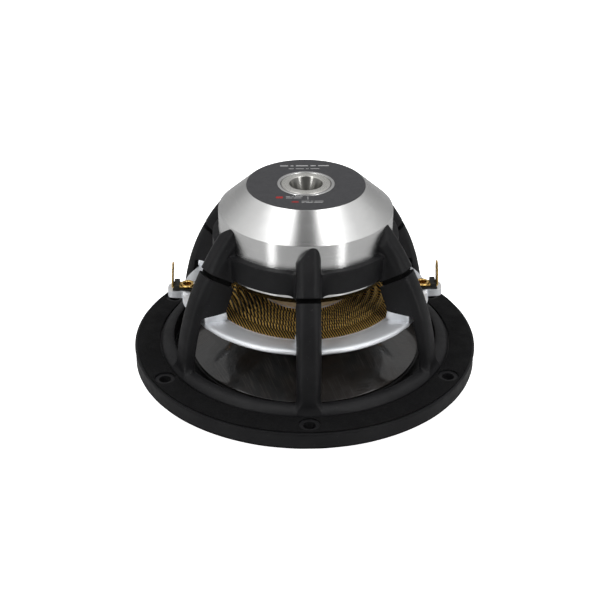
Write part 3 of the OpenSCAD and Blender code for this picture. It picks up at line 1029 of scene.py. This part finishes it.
def plate_finish():
    """Chrome steel with painted light in its colour: near black as painted shade, with a bright
    band along its upper edge as a painted reflection.
    """
    p = Paint("plate_chrome", Metallic=1.0)
    # Painted light: the near-white band on the top 1.5 mm of the edge is a painted reflection, and
    # the dark tone elsewhere is painted shade.
    painted_reflection_band = p.span(p.axes()[2], (PLATE_Z[1] - 1.62) * MM, (PLATE_Z[1] - 1.5) * MM)
    marks = p.noise(1.5, 4)
    painted_shade_tone = p.blend(p.span(marks, 0.3, 0.7), (0.035, 0.034, 0.032), (0.06, 0.058, 0.054))
    p.feed("Base Color", p.blend(painted_reflection_band, painted_shade_tone, (0.86, 0.86, 0.85)))
    p.feed("Roughness", p.varied(0.8, 3, 0.14, 0.26))
    p.bump(marks, 0.01)
    return p.material


def label_film():
    return grained("label_film", (0.042, 0.042, 0.046), (0.050, 0.050, 0.054), (1.2, 3),
                   (4, 2, 0.5, 0.6), (0.3, 2, 0.004), Specular_IOR_Level=0.4)


def ink(name, colour):
    return grained(name, colour, tuple(0.85 * c for c in colour), (0.5, 2), (0.8, 2, 0.5, 0.65),
                   Specular_IOR_Level=0.3)


WARP_TURN = 16
WARP_PITCH = 1.05
WEFT_PITCH = 0.85


def spider_weave():
    """Golden warp over dark weft, straight across the whole disc."""
    p = Paint("spider_weave", Specular_IOR_Level=0.15)
    u, v = p.crossed(WARP_TURN)
    sway = p.times(p.math("SUBTRACT", p.noise(6, 2), 0.5), 0.4 * MM)
    warp = p.math("SINE", p.times(p.sum(u, sway), math.pi / (WARP_PITCH * MM)))
    weft = p.math("SINE", p.times(p.sum(v, sway), math.pi / (WEFT_PITCH * MM)))
    over = p.times(warp, weft)
    ridge = p.math("ABSOLUTE", warp)
    knots = p.math("ABSOLUTE", weft)
    warp_h = p.times(ridge, p.sum(p.times(knots, 0.22), p.times(over, 0.08), 0.75))
    weft_h = p.times(knots, p.sum(p.times(over, -0.1), 0.42))
    height = p.math("MAXIMUM", warp_h, weft_h)
    on_top = p.span(p.math("SUBTRACT", warp_h, weft_h), 0.0, 0.12)
    fibre = p.noise(0.12, 3)
    gold = p.blend(fibre, (0.42, 0.24, 0.045), (0.85, 0.56, 0.16))
    yarn = p.blend(on_top, (0.085, 0.045, 0.014), gold)
    p.feed("Base Color", p.blend(p.span(height, 0.55, 0.95), (0.010, 0.007, 0.004), yarn))
    p.feed("Roughness", p.span(fibre, 0.3, 0.7, 0.5, 0.7))
    p.bump(height, 0.25)
    p.bump(fibre, 0.02)
    return p.material


TOW = 20
TOW_TURN = 24


def carbon_tow():
    """Spread tows in squares whose fibres run across and along in turn, under clear resin."""
    p = Paint("carbon_tow", Specular_IOR_Level=0.4, Coat_Weight=0.9, Coat_Roughness=0.09)
    u, v = p.crossed(TOW_TURN)
    square = p.times(p.math("SINE", p.times(u, math.pi / (TOW * MM))),
                     p.math("SINE", p.times(v, math.pi / (TOW * MM))))
    turned = p.span(square, -0.02, 0.02)

    def streaks(along, across):
        place = p.add("ShaderNodeCombineXYZ", (p.times(along, 0.07), across))
        return p.noise(0.7, 5, place.outputs[0])

    first, second = streaks(u, v), streaks(v, u)
    fibre = p.sum(first, p.times(turned, p.math("SUBTRACT", second, first)))
    cloud = p.noise(16, 4)
    dark = p.blend(p.span(cloud, 0.4, 0.65), (0.004, 0.004, 0.004), (0.014, 0.009, 0.006))
    light = p.blend(turned, (0.010, 0.008, 0.007), (0.024, 0.020, 0.018))
    p.feed("Base Color", p.blend(p.span(fibre, 0.5, 0.62), dark, light))
    p.feed("Roughness", p.sum(p.span(fibre, 0.3, 0.7, 0.28, 0.42), p.times(turned, 0.12)))
    p.bump(fibre, 0.08)
    p.bump(p.noise(11, 2), 0.9)
    p.bump(p.span(p.noise(2.5, 5), 0.55, 0.75), 0.03)
    return p.material


def rubber():
    return grained("surround_rubber", (0.008, 0.008, 0.008), (0.014, 0.014, 0.014), (5, 3),
                   (1.5, 3, 0.5, 0.66), (0.25, 3, 0.012), Specular_IOR_Level=0.35)


def paper(name, colour, dark):
    """Wound paper or glass fibre: fine lines round the axis."""
    return grained(name, dark, colour, (0.5, 4), (1.5, 3, 0.45, 0.65), (0.5, 4, 0.02),
                   (0.25, 0.25, 1.6), Specular_IOR_Level=0.4)


def worn_metal(name, colour, dark, roughness, size=1.5):
    """Plated metal with faint handling marks."""
    return grained(name, colour, dark, (size, 5), (size / 3, 4, roughness, roughness + 0.15),
                   (size / 6, 3, 0.004), edges=(0.4, 0.75), Metallic=1.0)


def insulator():
    return grained("fibre_black", (0.010, 0.010, 0.009), (0.022, 0.021, 0.017), (0.3, 4),
                   (1, 3, 0.45, 0.6), (0.3, 4, 0.015), (0.3, 1, 1), Specular_IOR_Level=0.4)


def braid():
    p = Paint("lead_braid", Specular_IOR_Level=0.5, Metallic=0.6)
    thread = p.noise(0.12, 3, p.scaled((0.4, 1, 1)))
    p.feed("Base Color", p.blend(p.span(thread, 0.35, 0.7), (0.22, 0.12, 0.05), (0.62, 0.40, 0.20)))
    p.feed("Roughness", p.span(thread, 0.3, 0.7, 0.35, 0.6))
    p.bump(thread, 0.02)
    return p.material


def glue():
    return grained("clear_glue", (0.32, 0.27, 0.25), (0.45, 0.38, 0.35), (2, 3),
                   (1, 3, 0.25, 0.4), (1.2, 3, 0.05), Specular_IOR_Level=0.5, Coat_Weight=0.3)


# ---- details that sit on the parts ----

def plate_bar(x, y, width, height, z):
    """A thin bar with round corners."""
    thickness = 0.03
    corner = min(0.12, 0.45 * height, 0.45 * width)
    outline = []
    for cx, cy, start in ((1, 1, 0), (-1, 1, 90), (-1, -1, 180), (1, -1, 270)):
        middle = (x + cx * (width / 2 - corner), y + cy * (height / 2 - corner))
        outline += arc(middle, corner, start, start + 90, 3)
    return prism(outline, z, z + thickness)


def make_prints(light, red):
    """Plain dashes and blocks, in place of any lettering."""
    z = LABEL_Z[1]
    marks = []
    for x, y, widths, height, gap in (
            (-10.6, 18.3, (3.4, 1.2, 5.2, 2.2, 4.6), 0.75, 1.1),
            (-7, 15.2, (2.2, 3.6, 1.2, 3.8), 0.4, 0.8),
            (-8.6, -12.9, (1.8, 0.9, 3.2), 0.35, 0.5), (-8.6, -14.1, (2.6, 3.2), 0.35, 0.5),
            (-2.3, -17.2, (3.2, 1.2, 3.6), 0.35, 0.5), (-2.3, -18.4, (1.2, 2.8, 3.6), 0.35, 0.5)):
        for width in widths:
            marks.append(plate_bar(x + width / 2, y, width, height, z))
            x += width + gap
    marks.append(plate_bar(0.4, -14.2, 0.25, 2.8, z))
    piece = new_object("label_print", *joined(*marks))
    dress(piece, FIXED, light)
    blocks = [plate_bar(-11.3, -13.5, 2.8, 1.7, z), plate_bar(-4.9, -17.8, 2.8, 0.9, z)]
    piece = new_object("label_blocks", *joined(*blocks))
    dress(piece, FIXED, red)


def make_beads(material):
    """Uneven glue rings where the spider meets its ring and the former."""
    spider_r = highest("spider", "x")
    for name, r, z, size, body in (
            ("spider_rim_glue", spider_r, LAND_Z + 0.15, 0.2, FIXED),
            ("former_collar_glue", FORMER_R + 0.5, LAND_Z + 2.1, 0.42, MOVING)):
        rings = []
        for t in np.linspace(0, 2 * math.pi, 160, endpoint=False):
            middle = r + 0.08 * math.sin(9 * t) + 0.05 * math.sin(23 * t)
            rings.append([polar(x, t, up) for x, up in arc((middle, 0), size, 0, 360, 10)[:-1]])
        verts, faces = skin(rings, loop=True)
        verts = [(x, y, z + 0.8 * up) for x, y, up in verts]
        dress(new_object(name, verts, faces), body, material)


def make_solder(side, turn, material):
    """Solder that holds the lead's end on the tab's foot."""
    top = highest("terminal_plate_" + side, "z") - 0.9
    outline = [(0, top - 0.1), (1.35, top - 0.1), (1.3, top + 0.12), (1.05, top + 0.4),
               (0.7, top + 0.72), (0.35, top + 0.9), (0, top + 0.95)]
    verts, faces = lathe(outline, 32)
    verts = [(1.15 * x + 47.9, y, z) for x, y, z in verts]
    obj = new_object("lead_solder_" + side, turned_about(verts, turn), faces)
    dress(obj, FIXED, material)


# ---- build ----

black = powder_coat()
gold = worn_metal("tab_gold", (0.86, 0.58, 0.20), (0.60, 0.36, 0.10), 0.18)
aluminium = turned_metal("turned_aluminium", (0.88, 0.88, 0.87), (0.72, 0.72, 0.72), 0.25,
                         anisotropy=0.94)
# The yoke's colour is darkened inside the vent mouth as painted shade.
steel = turned_metal("yoke_steel", (0.95, 0.94, 0.89), (0.82, 0.81, 0.77), 0.28, 0.1,
                     painted_shade_r=VENT_MOUTH_R)
chrome = plate_finish()
carbon = carbon_tow()

make_basket(black)
make_cage(black)
make_ring(silver_paint())
make_gasket(gasket_foam())
make_cup(aluminium)
make_yoke(steel)
make_plate(chrome)
make_screws(worn_metal("screw_black", (0.03, 0.03, 0.032), (0.06, 0.058, 0.055), 0.35))
tube("ring_magnet_block", "ring_magnet", 22.5, FIXED,
     worn_metal("magnet_nickel", (0.55, 0.54, 0.51), (0.42, 0.41, 0.39), 0.2, 4), 0.5)
tube("shorting_sleeve_cap", "shorting_sleeve", 17.2, FIXED,
     worn_metal("copper", (0.72, 0.33, 0.18), (0.42, 0.18, 0.10), 0.22, 3))
tube("rear_label_film", "rear_label", HUB_R + 0.1, FIXED, label_film(), 0.05)
tube("former_tube", "voice_coil_former", FORMER_R - 0.3, MOVING,
     paper("former_paper", (0.66, 0.54, 0.36), (0.52, 0.41, 0.26)))
tube("former_collar_wrap", "former_collar", FORMER_R, MOVING,
     paper("collar_paper", (0.52, 0.39, 0.24), (0.38, 0.27, 0.15)), 0.15)
make_winding(worn_metal("coil_wire", (0.62, 0.26, 0.10), (0.38, 0.15, 0.06), 0.3, 1))
make_cone(carbon)
make_cap(carbon)
make_spider(spider_weave())
make_surround(rubber())
fibre = insulator()
braided = braid()
tin = worn_metal("solder_tin", (0.62, 0.62, 0.60), (0.45, 0.45, 0.43), 0.25)
for side, turn in (("right", 0), ("left", 180)):
    make_terminal_plate(side, turn, fibre)
    make_lug(side, turn, gold)
    make_rivet(side, turn, gold)
    make_lead(side, turn, braided)
    make_solder(side, turn, tin)
make_prints(ink("label_ink_light", (0.55, 0.55, 0.55)), ink("label_ink_red", (0.42, 0.02, 0.02)))
make_beads(glue())


# ---- floor, light and camera ----

def make_floor():
    """A white floor, just below the surround's full travel, that can't be seen from beneath."""
    half, level = 3.0, -0.004
    square = [(-half, -half, level), (half, -half, level), (half, half, level),
              (-half, half, level)]
    mesh = bpy.data.meshes.new("floor")
    mesh.from_pydata(square, [], [(0, 1, 2, 3)])
    p = Paint("floor_white")
    seen = p.add("ShaderNodeLightPath").outputs["Is Camera Ray"]
    p.feed("Base Color", p.blend(seen, (0.5, 0.5, 0.5), (0.9, 0.9, 0.9)))
    p.feed("Specular IOR Level", p.span(seen, 0.0, 1.0, 0.6, 0.0))
    p.feed("Roughness", p.span(seen, 0.0, 1.0, 0.08, 0.9))
    p.feed("Emission Color", (1, 1, 1))
    p.feed("Emission Strength", seen)
    beneath = p.add("ShaderNodeNewGeometry").outputs["Backfacing"]
    mix = p.add("ShaderNodeMixShader", (beneath, p.shader.outputs[0],
                                        p.add("ShaderNodeBsdfTransparent").outputs[0]))
    p.feed(p.tree.nodes["Material Output"].inputs["Surface"], mix.outputs[0])
    mesh.materials.append(p.material)
    floor = placed("floor", mesh)


STRIP_TURN = 44.5


def make_world():
    """A dim studio with an overhead light and two tall softboxes in front, left and right.
    The camera sees plain white behind the floor. Angles run round from the front."""
    world = bpy.data.worlds.new("studio")
    bpy.context.scene.world = world
    p = Graph(world, "Background", "Generated")
    x, y, z = p.axes()
    round_from_front = p.math("ARCTAN2", p.math("ABSOLUTE", x), p.times(y, -1))
    turn = p.times(round_from_front, 180 / math.pi)
    off_strip = p.math("ABSOLUTE", p.math("SUBTRACT", turn, STRIP_TURN))
    half = p.span(z, 0.1, 0.88, 4.3, 6.4)
    in_strip = p.span(p.math("SUBTRACT", off_strip, half), 1.4, -1.4)
    strip = p.times(in_strip, p.times(p.span(z, -0.2, 0.05), p.span(z, 0.95, 0.86)))
    beside = p.span(p.math("ABSOLUTE", x), 0.13, 0.22)
    sides = p.times(p.span(turn, 30, 52), p.span(turn, 165, 110, 0.45, 1.0))
    room = p.sum(p.times(sides, p.span(z, 0.2, 0.7, 0.3, 0.66)), 0.165)
    overhead = p.times(beside, p.span(z, 0.74, 0.95, 0.0, 1.5))
    light = p.sum(room, overhead, p.times(strip, p.span(z, 0.2, 0.8, 5.0, 3.2)))
    seen = p.add("ShaderNodeLightPath").outputs["Is Camera Ray"]
    p.feed("Color", (1, 1, 1))
    p.feed("Strength", p.sum(p.times(light, p.math("SUBTRACT", 1.0, seen)), seen))


def make_camera():
    """The photograph's view: a long lens from the front, above."""
    target, distance = Vector((0, 0, 22.88)) * MM, 559.35 * MM
    turn, rise, roll = math.radians(-1.82), math.radians(30.13), math.radians(0.45)
    back = Vector((math.sin(turn) * math.cos(rise), -math.cos(turn) * math.cos(rise),
                   math.sin(rise)))
    data = bpy.data.cameras.new("camera")
    data.lens, data.sensor_width = 74.52, 36
    camera = placed("camera", data)
    camera.location = target + back * distance
    camera.rotation_mode = "QUATERNION"
    camera.rotation_quaternion = (-back).to_track_quat("-Z", "Y") @ Quaternion((0, 0, 1), roll)
    bpy.context.scene.camera = camera


make_floor()
make_world()
make_camera()
bpy.context.scene.view_settings.view_transform = "Standard"
